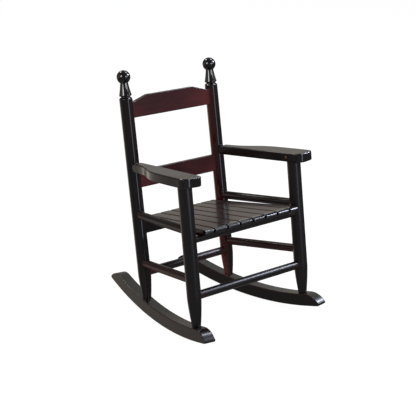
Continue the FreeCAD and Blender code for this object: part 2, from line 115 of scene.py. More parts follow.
# polyline with its sharp corners eased: each becomes a short parabola that starts and ends a set distance off;
# one whose cosine says that it is nearly straight stays, and none takes more than the given share of a run
def eased(points, size, steps=5, straight=-0.95, most=0.45):
    points = np.asarray(points, float)
    out = [points[:1]]
    t = np.linspace(0, 1, steps)[:, None]
    for before, here, after in zip(points[:-2], points[1:-1], points[2:]):
        a, b = before - here, after - here
        la, lb = np.linalg.norm(a), np.linalg.norm(b)
        if a @ b / (la * lb) < straight:
            out.append(here[None])
            continue
        p = here + a / la * min(size, la * most)
        q = here + b / lb * min(size, lb * most)
        out.append((1 - t) ** 2 * p + 2 * t * (1 - t) * here + t ** 2 * q)
    out.append(points[-1:])
    return np.concatenate(out)


# closed polyline spaced anew, evenly along its length
def spaced(points, count):
    points = np.concatenate([points, points[:1]])
    gone = np.concatenate([[0], np.cumsum(np.linalg.norm(np.diff(points, axis=0), axis=1))])
    t = np.linspace(0, gone[-1], count, endpoint=False)
    return np.stack([np.interp(t, gone, row) for row in points.T], 1)


# sRGB hex to the linear colour that sockets take
def linear(code):
    c = np.array([int(code[i:i + 2], 16) for i in (1, 3, 5)]) / 255
    c = np.where(c <= 0.04045, c / 12.92, ((c + 0.055) / 1.055) ** 2.4)
    return (*c, 1.0)


# one node with its settings and links: text keys that the node owns are set on it and the rest on its inputs;
# "stops" are the places and colours of a ramp, in rising order
def addNode(tree, kind, settings, links=None):
    node = tree.nodes.new("ShaderNode" + kind)
    for key, value in settings.items():
        if key == "stops":
            stops = node.color_ramp.elements
            while len(stops) < len(value):
                stops.new(1.0)
            for number, (position, code) in enumerate(value):
                stops[number].position = position
                stops[number].color = linear(code)
        elif isinstance(key, str) and hasattr(node, key):
            setattr(node, key, value)
        else:
            node.inputs[key].default_value = value
    for key, socket in (links or {}).items():
        tree.links.new(socket, node.inputs[key])
    return node


def newMaterial(name):
    material = bpy.data.materials.new(name)
    material.use_nodes = True
    tree = material.node_tree
    tree.nodes.clear()
    return material, tree, tree.nodes.new("ShaderNodeOutputMaterial")


# espresso lacquer brushed over mahogany; each cloud has its sizes along and across the grain, and its detail;
# pores of 0.2 mm and a lacquer's fine peel are too small to show here, so both are drawn about 1.5 mm wide
lacquer = {
    "streaks": ((70.0, 1.4, 1.4), 3.0), "mottle": ((90.0, 26.0, 26.0), 2.0), "peel": ((1.6, 1.6, 1.6), 1.0),
    "cloudRoughness": 0.55, "streakSpan": (0.3, 0.7), "grainDepth": 0.05, "peelShare": 0.35, "ior": 1.5,
    "mottleSway": 0.7, "mottleOff": -0.3, "streakSway": 0.12, "sway": 0.6,
    # from thick coat to thin
    "colours": ((0.05, "#0a0808"), (0.3, "#150b0a"), (0.75, "#30090b"), (1.0, "#4c1414")),
}
# back posts in hard gloss, front posts, rungs and front rail rubbed down, boards, arms and rockers satin
gloss = {"roughness": (0.15, 0.25), "shine": 0.12, "coat": 1.0, "coatRoughness": 0.02, "relief": 0.13}
rubbed = {"roughness": (0.3, 0.38), "shine": 0.55, "coat": 0.15, "coatRoughness": 0.12, "relief": 0.06}
satin = {
    "roughness": (0.27, 0.36), "shine": 0.42, "coat": 0.3, "coatRoughness": 0.06, "relief": 0.08,
    "thickThin": 0.1, "thickCoat": 0.6, "thickSmooth": 0.5,
}


# nearly black to the eye, with red mahogany coming through where the coat lies thin, and fine grain lengthwise
def makeLacquer(name, finish):
    material, tree, output = newMaterial(name)
    place = addNode(tree, "Attribute", {"attribute_name": "grainPlace"}).outputs["Vector"]
    thin = addNode(tree, "Attribute", {"attribute_name": "thinCoat"}).outputs["Fac"]
    clouds = []
    for sizes, detail in (lacquer["streaks"], lacquer["mottle"], lacquer["peel"]):
        scale = tuple(1 / (size * mm) for size in sizes)
        moved = addNode(tree, "Mapping", {"Scale": scale}, {"Vector": place}).outputs["Vector"]
        cloud = {"Scale": 1.0, "Detail": detail, "Roughness": lacquer["cloudRoughness"]}
        clouds.append(addNode(tree, "TexNoise", cloud, {"Vector": moved}).outputs["Fac"])
    streaks, mottle, peel = clouds
    # how thin the coat lies, swayed by the mottling and the streaks, picks the colour
    sway = {"operation": "MULTIPLY_ADD", 1: lacquer["mottleSway"], 2: lacquer["mottleOff"]}
    swayed = addNode(tree, "Math", sway, {0: mottle}).outputs[0]
    sway = {"operation": "MULTIPLY_ADD", 1: lacquer["streakSway"]}
    swayed = addNode(tree, "Math", sway, {0: streaks, 2: swayed}).outputs[0]
    sway = {"operation": "MULTIPLY_ADD", 1: lacquer["sway"]}
    depth = addNode(tree, "Math", sway, {0: swayed, 2: thin}).outputs[0]
    colour = addNode(tree, "ValToRGB", {"stops": lacquer["colours"]}, {"Fac": depth}).outputs["Color"]
    fromLow, fromHigh = lacquer["streakSpan"]
    low, high = finish["roughness"]
    span = {"From Min": fromLow, "From Max": fromHigh, "To Min": low, "To Max": high}
    rough = addNode(tree, "MapRange", span, {"Value": streaks}).outputs[0]
    share = {"operation": "MULTIPLY_ADD", 1: lacquer["peelShare"]}
    relief = addNode(tree, "Math", share, {0: peel, 2: streaks}).outputs[0]
    height = {"Strength": finish["relief"], "Distance": lacquer["grainDepth"] * mm}
    bump = addNode(tree, "Bump", height, {"Height": relief}).outputs["Normal"]
    links = {"Base Color": colour, "Normal": bump}
    if "thickThin" in finish:  # where it was left thick it flowed out smoother and glossier
        ends = {"From Min": 0.0, "From Max": finish["thickThin"], "To Min": 1.0, "To Max": 0.0}
        thick = addNode(tree, "MapRange", ends, {"Value": thin}).outputs[0]
        more = {"operation": "MULTIPLY_ADD", 1: finish["thickCoat"], 2: finish["coat"]}
        links["Coat Weight"] = addNode(tree, "Math", more, {0: thick}).outputs[0]
        less = {"operation": "MULTIPLY_ADD", 1: -finish["thickSmooth"], 2: 1.0}
        smoother = addNode(tree, "Math", less, {0: thick}).outputs[0]
        rough = addNode(tree, "Math", {"operation": "MULTIPLY"}, {0: rough, 1: smoother}).outputs[0]
    links["Roughness"] = rough
    surface = {
        "IOR": lacquer["ior"], "Specular IOR Level": finish["shine"], "Coat Weight": finish["coat"],
        "Coat Roughness": finish["coatRoughness"], "Coat IOR": lacquer["ior"],
    }
    shader = addNode(tree, "BsdfPrincipled", surface, links)
    tree.links.new(shader.outputs[0], output.inputs["Surface"])
    return material


# the plating's crystals are far too fine to show, so its two tones are drawn as clouds of about a millimetre
plating = {"detail": 3.0, "relief": 0.2, "depth": 0.05}
brass = {"tones": ((0.3, "#94602c"), (0.7, "#d8a264")), "spot": 1.1, "roughness": 0.32}
steel = {"tones": ((0.3, "#6c6f74"), (0.7, "#b9bcc0")), "spot": 0.7, "roughness": 0.38}


# plated steel of a small fastener: cloudy and half dull to the eye, as plating is once it is driven
def makeMetal(name, look):
    material, tree, output = newMaterial(name)
    place = addNode(tree, "TexCoord", {}).outputs["Object"]
    cloud = {"Scale": 1 / (look["spot"] * mm), "Detail": plating["detail"]}
    clouds = addNode(tree, "TexNoise", cloud, {"Vector": place}).outputs["Fac"]
    tone = addNode(tree, "ValToRGB", {"stops": look["tones"]}, {"Fac": clouds}).outputs["Color"]
    height = {"Strength": plating["relief"], "Distance": plating["depth"] * mm}
    bump = addNode(tree, "Bump", height, {"Height": clouds}).outputs["Normal"]
    surface = {"Metallic": 1.0, "Roughness": look["roughness"]}
    shader = addNode(tree, "BsdfPrincipled", surface, {"Base Color": tone, "Normal": bump})
    tree.links.new(shader.outputs[0], output.inputs["Surface"])
    return material


glossWood = makeLacquer("espressoGlossLacqueredWood", gloss)
rubbedWood = makeLacquer("espressoRubbedLacqueredWood", rubbed)
satinWood = makeLacquer("espressoSatinLacqueredWood", satin)
brassPlated = makeMetal("brassPlatedSteel", brass)
zincPlated = makeMetal("zincPlatedSteel", steel)
print("materials made")

pieces = []
grainShift = np.array([310.0, 47.0, 83.0])  # moves each piece's grain on, so that no two look alike
mergeReach = 0.002  # points on a plate's spine that are closer than this become one


# a grid of points closed round its columns, with one middle point that closes each end row; a plate's end rows
# lie on its spine and are merged there instead; faces are turned outward by the sign of the enclosed volume,
# and grainPlace is the point in the piece's own frame, with the grain along x
def putPiece(name, grid, place, thin, nodes, material=glossWood, spined=False):
    rows, cols = grid.shape[:2]
    ends = [] if spined else [0, -1]
    points = np.concatenate([grid.reshape(-1, 3), grid[ends].mean(1)])
    place = np.concatenate([place.reshape(-1, 3), place[ends].mean(1)]) + grainShift * (len(pieces) + 1)
    thin = np.broadcast_to(thin, (rows, cols))
    thin = np.concatenate([thin.ravel(), thin[ends].mean(1)])
    ids = np.arange(rows * cols).reshape(rows, cols)
    right = np.roll(ids, -1, 1)
    quads = np.stack([ids[:-1], right[:-1], right[1:], ids[1:]], -1).reshape(-1, 4)
    caps = np.zeros((0, 3), int)
    if not spined:
        first = np.stack([right[0], ids[0], np.full(cols, rows * cols)], -1)
        last = np.stack([ids[-1], right[-1], np.full(cols, rows * cols + 1)], -1)
        caps = np.concatenate([first, last])
    a, b, c = points[np.concatenate([quads[:, :3], quads[:, [0, 2, 3]], caps])].transpose(1, 0, 2)
    if np.einsum("ij,ij->i", a, np.cross(b, c)).sum() < 0:
        quads, caps = quads[:, ::-1], caps[:, ::-1]
    mesh = bpy.data.meshes.new(name)
    mesh.from_pydata(points * mm, [], quads.tolist() + caps.tolist())
    mesh.shade_smooth()
    grain = mesh.attributes.new("grainPlace", "FLOAT_VECTOR", "POINT")
    grain.data.foreach_set("vector", (place * mm).astype(np.float32).ravel())
    coat = mesh.attributes.new("thinCoat", "FLOAT", "POINT")
    coat.data.foreach_set("value", thin.astype(np.float32))
    if spined:
        merged = bmesh.new()
        merged.from_mesh(mesh)
        bmesh.ops.remove_doubles(merged, verts=merged.verts, dist=mergeReach * mm)
        merged.to_mesh(mesh)
        merged.free()
    mesh.materials.append(material)
    piece = bpy.data.objects.new(name, mesh)
    bpy.context.scene.collection.objects.link(piece)
    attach(piece, "root")
    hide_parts(*nodes)
    pieces.append(piece)
    return piece


# a piece's two names, each with what its points are multiplied by
def sides(part):
    return (("left" + part[0].upper() + part[1:], 1.0), ("right" + part[0].upper() + part[1:], flip))


def snake(name):
    return "".join("_" + c.lower() if c.isupper() else c for c in name)


# turned piece: the profile's radius carried round the axis, at the profile's distance along it
def turned(start, way, profile, count):
    way = unit(way)
    sideA = unit(np.cross(way, rearward if abs(way[1]) < 0.9 else across))  # square to any axis
    sideB = np.cross(way, sideA)
    angle = np.linspace(0, 2 * math.pi, count, endpoint=False)
    ring = np.cos(angle)[:, None] * sideA + np.sin(angle)[:, None] * sideB
    radius, along = profile[:, :1, None], profile[:, 1:, None]
    grid = start + along * way + radius * ring
    flat = np.stack([np.cos(angle), np.sin(angle)], 1)
    place = np.concatenate([np.broadcast_to(along, grid.shape[:2] + (1,)), radius * flat], 2)
    return grid, place, np.broadcast_to(ring, grid.shape)


post = {
    "back": 31.0, "front": 32.2, "foot": 19.4, "tenon": 12.0, "join": 1.0, "bulge": 0.62,
    "backTaper": 58.0, "frontTaper": 66.0, "armTenon": 9.0, "finial": 60.0, "ball": 32.1, "neck": 18.6,
    "bell": 29.4, "bellLength": 31.0, "bellMiddle": 0.42, "lip": 2.4, "groove": 22.0, "grooveWidth": 2.2,
    "chamfer": 3.6, "shoulder": 3.0, "ease": 0.7,
    "around": 112, "steps": 60, "arcSteps": 40, "lipSteps": 11, "ballSteps": 70,
    "plainThin": 0.03, "innerRed": 0.64, "innerGain": 1.25, "innerStart": 0.1, "redTop": 54.0,
    "redFade": 6.0, "lowRed": 0.2, "lowFade": 40.0, "frontThin": 0.2, "frontStart": 0.4,
}


# post up to a distance along it: the foot tenon, a foot that grows along an arc, then the post's own radius
def postProfile(radius, taper, end):
    foot = post["foot"] / 2
    middle = foot + (radius - foot) * post["bulge"]
    straight = np.linspace(taper, end, post["steps"])[1:, None]
    return np.concatenate([
        [[foot, -post["tenon"]], [foot, -post["join"]]],
        arcThrough((foot, 0), (middle, taper / 2), (radius, taper), post["arcSteps"]),
        np.concatenate([np.full_like(straight, radius), straight], 1),
    ])


# finial, from the shoulder up: chamfer, groove, rounded lip, hollow bell, then the ball about its own middle
def finialProfile(radius, middle):
    ball, neck, bell, groove = post["ball"] / 2, post["neck"] / 2, post["bell"] / 2, post["groove"] / 2
    neckTop = middle - math.sqrt(ball ** 2 - neck ** 2)
    bellLow = neckTop - post["bellLength"] + post["lip"]
    lip = bellLow - post["lip"]
    grooveLow = lip - post["grooveWidth"]
    shoulder = grooveLow - post["chamfer"]
    share = post["bellMiddle"]
    waist = (neck + (bell - neck) * (1 - share) ** 2, neckTop - (neckTop - bellLow) * share)
    skew = post["lip"] / math.sqrt(2)
    lipStart = (bell - post["lip"], lip)
    lipMiddle = (bell - post["lip"] + skew, bellLow - skew)
    corners = eased([
        (radius, shoulder - post["shoulder"]), (radius, shoulder), (radius - post["chamfer"], grooveLow),
        (groove, grooveLow), (groove, lip), lipStart, lipMiddle,
    ], post["ease"])
    return np.concatenate([
        corners,
        arcThrough(lipStart, lipMiddle, (bell, bellLow), post["lipSteps"])[post["lipSteps"] // 2 + 1:],
        arcThrough((bell, bellLow), waist, (neck, neckTop), post["arcSteps"])[1:],
        arcThrough((neck, neckTop), (ball, middle), (0.0, middle + ball), post["ballSteps"])[1:-1],
    ])


ballMiddle = (stance["height"] - post["ball"] / 2 - backFoot[2]) / backWay[2]
profile = np.concatenate([
    postProfile(post["back"] / 2, post["backTaper"], ballMiddle - post["finial"]),
    finialProfile(post["back"] / 2, ballMiddle),
])
grid, place, normal = turned(backFoot, backWay, profile, post["around"])
along = profile[:, 1:]
# the colour is redder on the sides that face the middle, up to the finial, and redder still under the seat
inward = np.clip(-normal[:, :, 0] * post["innerGain"] - post["innerStart"], 0, 1)
below = np.clip((ballMiddle - post["redTop"] - along) / post["redFade"], 0, 1)
underSeat = np.clip((stance["seatBack"] - backFoot[2] - along) / post["lowFade"], 0, 1)
thin = post["plainThin"] + (post["innerRed"] + post["lowRed"] * underSeat) * inward * below
backPosts = [putPiece(name, grid * mirror, place, thin, [snake(name)]) for name, mirror in sides("backPost")]

frontTop = (stance["armFront"] - frontFoot[2]) / frontWay[2] + post["armTenon"]
profile = postProfile(post["front"] / 2, post["frontTaper"], frontTop)
grid, place, normal = turned(frontFoot, frontWay, profile, post["around"])
thin = post["plainThin"] + post["frontThin"] * np.clip(-normal[:, :, 0] - post["frontStart"], 0, 1)
for name, mirror in sides("frontPost"):
    putPiece(name, grid * mirror, place, thin, [snake(name)], rubbedWood)
print("posts turned")


rung = {
    "thick": 19.6, "margin": 1.2, "upperFront": 262.4, "upperBack": 230.7, "lowerFront": 153.0,
    "lowerBack": 116.5, "front": 116.1, "rear": 93.7, "around": 72, "steps": 50, "ease": 1.0,
    "endFlat": 2.0, "endRun": 4.0, "endGap": 0.5,
    "upperThin": 0.24, "lowerThin": 0.48, "frontThin": 0.08, "rearThin": 0.22, "underThin": 0.12,
    "sideEnd": (0.3, 14.0), "crossEnd": (0.5, 16.0),
}


# distance from a post's axis at which a bar lies inside it all round: the chord's distance less a margin
def housing(postThick, thick):
    return math.sqrt((postThick / 2) ** 2 - (thick / 2) ** 2) - rung["margin"]


# dowel: one radius along a straight line between two post axes, stopping inside each post
def dowel(start, end, startPost, endPost):
    low = housing(startPost, rung["thick"])
    high = np.linalg.norm(end - start) - housing(endPost, rung["thick"])
    radius, run = rung["thick"] / 2, rung["endRun"]
    ends = eased([(radius - rung["endFlat"], low), (radius, low), (radius, low + run)], rung["ease"])
    inset = run + rung["endGap"]
    middle = np.linspace(low + inset, high - inset, rung["steps"])[:, None]
    profile = np.concatenate([
        ends, np.concatenate([np.full_like(middle, radius), middle], 1),
        np.stack([ends[::-1, 0], low + high - ends[::-1, 1]], 1),
    ])
    return (*turned(start, unit(end - start), profile, rung["around"]), profile[:, 1])


# the coat thins by an amount that dies away from each post over a reach, where it was wiped
def endRed(along, base, extra, reach):
    off = np.minimum(along - along[0], along[-1] - along)
    return (base + extra * np.exp(-off / reach))[:, None]


for level in ("upper", "lower"):
    back, front = backAxis(rung[level + "Back"]), frontAxis(rung[level + "Front"])
    grid, place, normal, along = dowel(back, front, post["back"], post["front"])
    under = np.clip(-normal[:, :, 2], 0, 1)
    thin = endRed(along, rung[level + "Thin"], *rung["sideEnd"]) + rung["underThin"] * under
    for name, mirror in sides(level + "SideRung"):
        putPiece(name, grid * mirror, place, thin, [snake(name)], rubbedWood)
for level, point, thick in (
    ("front", frontAxis(rung["front"]), post["front"]), ("rear", backAxis(rung["rear"]), post["back"]),
):
    grid, place, normal, along = dowel(point * flip, point, thick, thick)
    thin = endRed(along, rung[level + "Thin"], *rung["crossEnd"])
    putPiece(level + "Rung", grid, place, thin, [level + "_rung"], rubbedWood)
print("rungs set")


# section with rounded corners, as corner signs, arc directions and small shifts that hold the flats flat
def sectionPlan(steps=5, hold=0.35):
    corner, arc, shift = [], [], []
    turn = np.array([[0, -1], [1, 0]])
    for sign, start in (((1, 1), 0), ((-1, 1), 90), ((-1, -1), 180), ((1, -1), 270)):
        t = np.radians(np.linspace(start, start + 90, steps))
        d = np.stack([np.cos(t), np.sin(t)], 1)
        corner.append(np.tile(sign, (steps + 2, 1)))
        arc.append(np.concatenate([d[:1], d, d[-1:]]))
        shift.append(np.concatenate([[-hold * (turn @ d[0])], np.zeros((steps, 2)), [hold * (turn @ d[-1])]]))
    return np.concatenate(corner), np.concatenate(arc), np.concatenate(shift)


# board: a rounded oblong of half sizes a and b about each point of a line, a along sideA and b along sideB;
# edge is 1 on the roundings and 0 on the flats
def board(centres, along, sideA, sideB, a, b, r):
    corner, arc, shift = sectionPlan()
    half = np.stack([a, b], 1)[:, None, :]
    r = np.broadcast_to(r, a.shape)[:, None, None]
    plane = corner * (half - r) + arc * r + np.clip(shift, -(half - r) * 0.5, (half - r) * 0.5)
    grid = centres[:, None, :] + plane[:, :, :1] * sideA + plane[:, :, 1:] * sideB
    place = np.concatenate([np.broadcast_to(along[:, None, None], plane.shape[:2] + (1,)), plane], 2)
    edge = np.clip(1 - np.abs(np.abs(arc[:, 0]) - np.abs(arc[:, 1])), 0, 1) ** 0.5
    return grid, place, np.broadcast_to(edge, plane.shape[:2])


backForward = np.cross(backWay, across)
crest = {
    "bottom": 453.6, "end": 490.3, "top": 501.7, "flat": 68.5, "shoulder": 107.0, "thick": 15.0, "round": 1.0,
    "half": 125.0, "steps": 151, "faceThin": 0.71, "endRed": 0.1, "leftThin": 0.31, "topThick": 0.07,
}
lowerSlat = {
    "bottom": 292.3, "top": 331.6, "thick": 13.0, "round": 1.0,
    "half": 125.0, "steps": 121, "faceThin": 0.7, "endRed": 0.25, "leftThin": 0.1, "topThick": 0.07,
}
boardRed = {"housed": 12.0, "fade": 20.0, "leftCurve": 1.5}


# back board: its lower edge is straight and its upper edge follows the given heights, both on the plane
# in which the back posts lean
def backBoard(size, x, top):
    low = middleOf(backAxis(size["bottom"]))
    high = np.stack([middleOf(backAxis(t)) for t in top])
    centres = (low + high) / 2 + x[:, None] * across
    a = np.full_like(x, size["thick"] / 2)
    b = np.linalg.norm(high - low, axis=1) / 2
    grid, place, edge = board(centres, x, backForward, backWay, a, b, size["round"])
    rise = place[:, :, 2] / b[:, None]  # -1 along the lower edge, 1 along the upper
    place[:, :, 2] += b[:, None] - b[0]
    # the coat thins towards the lower edge and is thick on the roundings; the board is also redder near both
    # posts and towards the sitter's left
    nearPost = np.exp(-(size["half"] - boardRed["housed"] - np.abs(x)) / boardRed["fade"])[:, None]
    nearLeft = np.clip(x / size["half"], 0, 1)[:, None] ** boardRed["leftCurve"]
    thin = size["faceThin"] + size["endRed"] * nearPost + size["leftThin"] * nearLeft
    return grid, place, (thin - size["topThick"] * rise) * (1 - edge)


bends = [s * (k + d) for s in (-1, 1) for k in (crest["flat"], crest["shoulder"]) for d in (-2, -1, 0, 1, 2)]
x = np.unique(np.concatenate([np.linspace(-crest["half"], crest["half"], crest["steps"]), bends]))
slope = np.interp(np.abs(x), [crest["flat"], crest["shoulder"]], [crest["top"], crest["end"]])
grid, place, thin = backBoard(crest, x, slope)
putPiece("crestRail", grid, place, thin, ["crest_rail"], satinWood)
x = np.linspace(-lowerSlat["half"], lowerSlat["half"], lowerSlat["steps"])
grid, place, thin = backBoard(lowerSlat, x, np.full_like(x, lowerSlat["top"]))
putPiece("lowerBackSlat", grid, place, thin, ["lower_back_slat"], satinWood)
print("back boards shaped")


seat = {
    "frontOver": 31.0, "backOver": 5.6, "frontClear": 11.6, "backClear": 6.9, "count": 8,
    "outerFront": 0.724, "outerBack": 0.397, "gap": 3.0, "thick": 11.0, "round": 1.8, "corner": 0.8,
    "nose": 8.6, "noseCorner": 5.0, "leastHalf": 1.0, "rearRun": 14.0, "roundShare": 0.8,
    "topThin": 0.3, "edgeThin": 0.75, "sideIn": 0.6, "sideFade": 0.5,
    "noseThin": 0.02, "noseLength": 14.0, "noseFade": 10.0,
}
seatFront = middleOf(frontAxis(stance["seatFront"]))
seatBack = middleOf(backAxis(stance["seatBack"]))
seatWay = unit(seatBack - seatFront)  # from front to back
seatNormal = unit(np.cross(across, seatWay))
seatLength = np.linalg.norm(seatBack - seatFront)
slatLength = seatLength + seat["frontOver"] + seat["backOver"]
perSide = seat["count"] // 2


# half width of the seat at a share of the way back: a straight line past both posts, clear of them
def seatEdge(share):
    front = halfFront - post["front"] / 2 - seat["frontClear"]
    back = halfBack - post["back"] / 2 - seat["backClear"]
    return front + (back - front) * (slatLength * share - seat["frontOver"]) / seatLength


# line midway between two slats, counted from the middle gap: the lines fan out evenly from back to front
def slatLine(step, share):
    front = seatEdge(0) / (perSide - 1 + seat["outerFront"])
    back = seatEdge(1) / (perSide - 1 + seat["outerBack"])
    return step * (front + (back - front) * share)


# quarter round at an end: full size inside, falling to the end along a circle of radius r
def endRound(off, r):
    return r - np.sqrt(np.clip(r ** 2 - (r - np.clip(off, 0, r)) ** 2, 0, None))


# distances from the front: rows crowd towards both ends and stop just short, so that none shrinks to a point
noseTurn = np.linspace(0.06, math.pi / 2, 18)
rearTurn = np.linspace(0.05, 1.54, 26)
rearStart = slatLength - seat["rearRun"]
t = np.concatenate([
    seat["nose"] * (1 - np.cos(noseTurn)), np.linspace(seat["nose"] + 0.5, rearStart, 70),
    rearStart + seat["rearRun"] * np.sin(rearTurn),
])
share = t / slatLength
rearRound = endRound(slatLength - t, seat["round"])
# slat: a rounded oblong carried back along the seat, its front rounded over above and its rear edge eased
# by endRound; top and bottom are heights over the slat's underside at each distance from the front
top = seat["thick"] - endRound(t, seat["nose"]) - rearRound
bottom = endRound(t, seat["round"]) + rearRound
b = (top - bottom) / 2
depth = seat["thick"] - (top + bottom) / 2
line = seatFront + (t - seat["frontOver"])[:, None] * seatWay - depth[:, None] * seatNormal
# the coat stays thick on the noses
behindNose = np.clip((t - seat["noseLength"]) / seat["noseFade"], 0, 1)[:, None]
for number in range(perSide):
    inner = slatLine(number, share) + seat["gap"] / 2
    outer = slatLine(number + 1, share) - seat["gap"] / 2
    if number == perSide - 1:  # the outermost ends on the seat's edge and has its rear corner cut round
        outer = seatEdge(share)
        outer = outer - endRound(slatLength - t, (outer[-1] - inner[-1]) * seat["corner"])
    a = np.maximum((outer - inner) / 2 - endRound(t, seat["noseCorner"]) - rearRound, seat["leastHalf"])
    centre = line + ((outer + inner) / 2)[:, None] * across
    r = np.minimum(seat["round"], np.minimum(a, b) * seat["roundShare"])
    grid, place, edge = board(centre, t, across, seatNormal, a, b, r)
    sideOut = np.clip((np.abs(place[:, :, 1]) - (a - seat["sideIn"])[:, None]) / seat["sideFade"], 0, 1)
    worn = seat["topThin"] - seat["noseThin"] + seat["edgeThin"] * np.maximum(edge, sideOut)
    thin = seat["noseThin"] + worn * behindNose
    for count, mirror in ((perSide + 1 + number, 1.0), (perSide - number, flip)):
        putPiece("seatSlat%d" % count, grid * mirror, place, thin, ["seat_slat_%d" % count], satinWood)
print("seat slats laid")


# point of a post's axis at a depth under the seat's top, square to the seat
def belowSeat(axis, depth):
    low = axis(0)
    way = axis(stance["height"]) - low
    return low + way * ((-depth - (low - seatFront) @ seatNormal) / (way @ seatNormal))


frontRail = {
    "thick": 19.6, "flat": 1.0, "back": 16.0, "backHeight": 15.0, "step": 0.3, "clear": 0.4, "endShare": 0.8,
    "around": 96, "steps": 61, "thin": 0.06, "end": (0.35, 12.0),
}
crown = frontRail["thick"] / 2 - frontRail["flat"]


# front rail section at an angle from straight back: the dowel's radius, planed off at the crown; between the
# posts it reaches out to the flat top, the squared back or its underside, whichever comes first on that angle
def railRadius(angle, squared, least=1e-6):
    back, up = np.cos(angle), np.sin(angle)
    top = crown / np.maximum(up, least)
    radius = np.minimum(frontRail["thick"] / 2, top)
    if not squared:
        return radius
    under = (frontRail["backHeight"] - crown) / np.maximum(-up, least)
    reach = np.where(back > 0, frontRail["back"] / np.maximum(back, least), 0)
    return np.maximum(radius, np.minimum(reach, np.minimum(top, under)))


upperCorner = math.atan2(crown, frontRail["back"])
lowerCorner = math.atan2(crown - frontRail["backHeight"], frontRail["back"])
besideCorner = (-0.03, -0.004, 0.004, 0.03)  # added angles that keep the squared back's two corners crisp
angle = np.unique(np.concatenate([
    np.linspace(-math.pi, math.pi, frontRail["around"], endpoint=False),
    [corner + turn for corner in (upperCorner, lowerCorner) for turn in besideCorner],
]))
housed = halfFront - housing(post["front"], frontRail["thick"])
inside = halfFront - post["front"] / 2 - frontRail["clear"]
squaredEnd = inside - frontRail["step"]
stations = [(-housed, frontRail["endShare"], False), (-housed, 1.0, False), (-inside, 1.0, False)]
stations += [(spot, 1.0, True) for spot in np.linspace(-squaredEnd, squaredEnd, frontRail["steps"])]
stations += [(-spot, size, squared) for spot, size, squared in stations[2::-1]]
x = np.array([spot for spot, size, squared in stations])
radius = np.stack([railRadius(angle, squared) * size for spot, size, squared in stations])
section = np.stack([radius * np.cos(angle), radius * np.sin(angle)], 2)
railMiddle = middleOf(belowSeat(frontAxis, seat["thick"] + crown))
grid = railMiddle + x[:, None, None] * across + section[:, :, :1] * seatWay + section[:, :, 1:] * seatNormal
place = np.concatenate([np.broadcast_to(x[:, None, None], section.shape[:2] + (1,)), section], 2)
thin = endRed(x, frontRail["thin"], *frontRail["end"])
putPiece("frontSeatRail", grid, place, thin, ["front_seat_rail"], rubbedWood)

rearRail = {
    "height": 27.0, "thick": 15.0, "round": 2.0, "half": 125.0, "steps": 81, "thin": 0.12, "edgeThin": 0.2,
}
railMiddle = middleOf(belowSeat(backAxis, seat["thick"] + rearRail["height"] / 2))
x = np.linspace(-rearRail["half"], rearRail["half"], rearRail["steps"])
a, b = np.full_like(x, rearRail["thick"] / 2), np.full_like(x, rearRail["height"] / 2)
grid, place, edge = board(railMiddle + x[:, None] * across, x, seatWay, seatNormal, a, b, rearRail["round"])
thin = rearRail["thin"] + rearRail["edgeThin"] * edge
putPiece("rearSeatRail", grid, place, thin, ["rear_seat_rail"], satinWood)
print("seat rails set")


# plate: a closed outline with its upper and lower edges rounded; rings run from a spine on the top face out to
# the outline, round the edge, down the side, and back to the spine below; level is the height over the middle,
# and edge is 1 on the roundings and 0 on the flats, which are held flat a little past each rounding
def plate(outline, spine, thick, r, steps=6, hold=0.5, faceShares=(0.0, 0.35, 0.7, 0.93)):
    ahead, behind = np.roll(outline, -1, 0), np.roll(outline, 1, 0)
    tangent = ahead - behind
    outward = np.stack([tangent[:, 1], -tangent[:, 0]], 1) / np.linalg.norm(tangent, axis=1)[:, None]
    area = 0.5 * np.sum(outline[:, 0] * ahead[:, 1] - ahead[:, 0] * outline[:, 1])
    outward = outward if area > 0 else -outward
    t = np.linspace(0, math.pi / 2, steps)
    inset = np.concatenate([[r + hold], r * (1 - np.sin(t))])
    level = np.concatenate([[thick / 2], thick / 2 - r * (1 - np.cos(t))])
    side = thick / 2 - r - hold
    inset = np.concatenate([inset, [0, 0], inset[::-1]])
    level = np.concatenate([level, [side, -side], -level[::-1]])
    edge = np.zeros(len(level))
    edge[1:steps + 1] = np.sin(2 * t)
    edge[-steps - 1:-1] = np.sin(2 * t[::-1])
    rim = outline[None] - inset[:, None, None] * outward[None]
    top = spine + (rim[0] - spine) * np.array(faceShares)[:, None, None]
    rings = np.concatenate([top, rim, top[::-1]])
    face = np.ones(len(faceShares))
    level = np.concatenate([face * thick / 2, level, -face * thick / 2])[:, None]
    edge = np.concatenate([face * 0, edge, face * 0])[:, None]
    return rings, np.broadcast_to(level, rings.shape[:2]), np.broadcast_to(edge, rings.shape[:2])


# cubic curve: the four points weighted by the usual cubes of t and 1 - t
def bezier(points, count):
    a, b, c, d = (np.asarray(p, float) for p in points)
    t = np.linspace(0, 1, count)[:, None]
    return (1 - t) ** 3 * a + 3 * t * (1 - t) ** 2 * b + 3 * t ** 2 * (1 - t) * c + t ** 3 * d


# corner of two straight runs turned into an arc that touches both
def cornerArc(point, inWay, outWay, radius, count):
    point, inWay, outWay = np.asarray(point, float), unit(inWay), unit(outWay)
    back = radius * math.tan(math.acos(np.clip(inWay @ outWay, -1, 1)) / 2)
    start, end = point - inWay * back, point + outWay * back
    toMiddle = unit(outWay - inWay)
    centre = point + toMiddle * math.hypot(radius, back)
    return arcThrough(start, centre - toMiddle * radius, end, count)


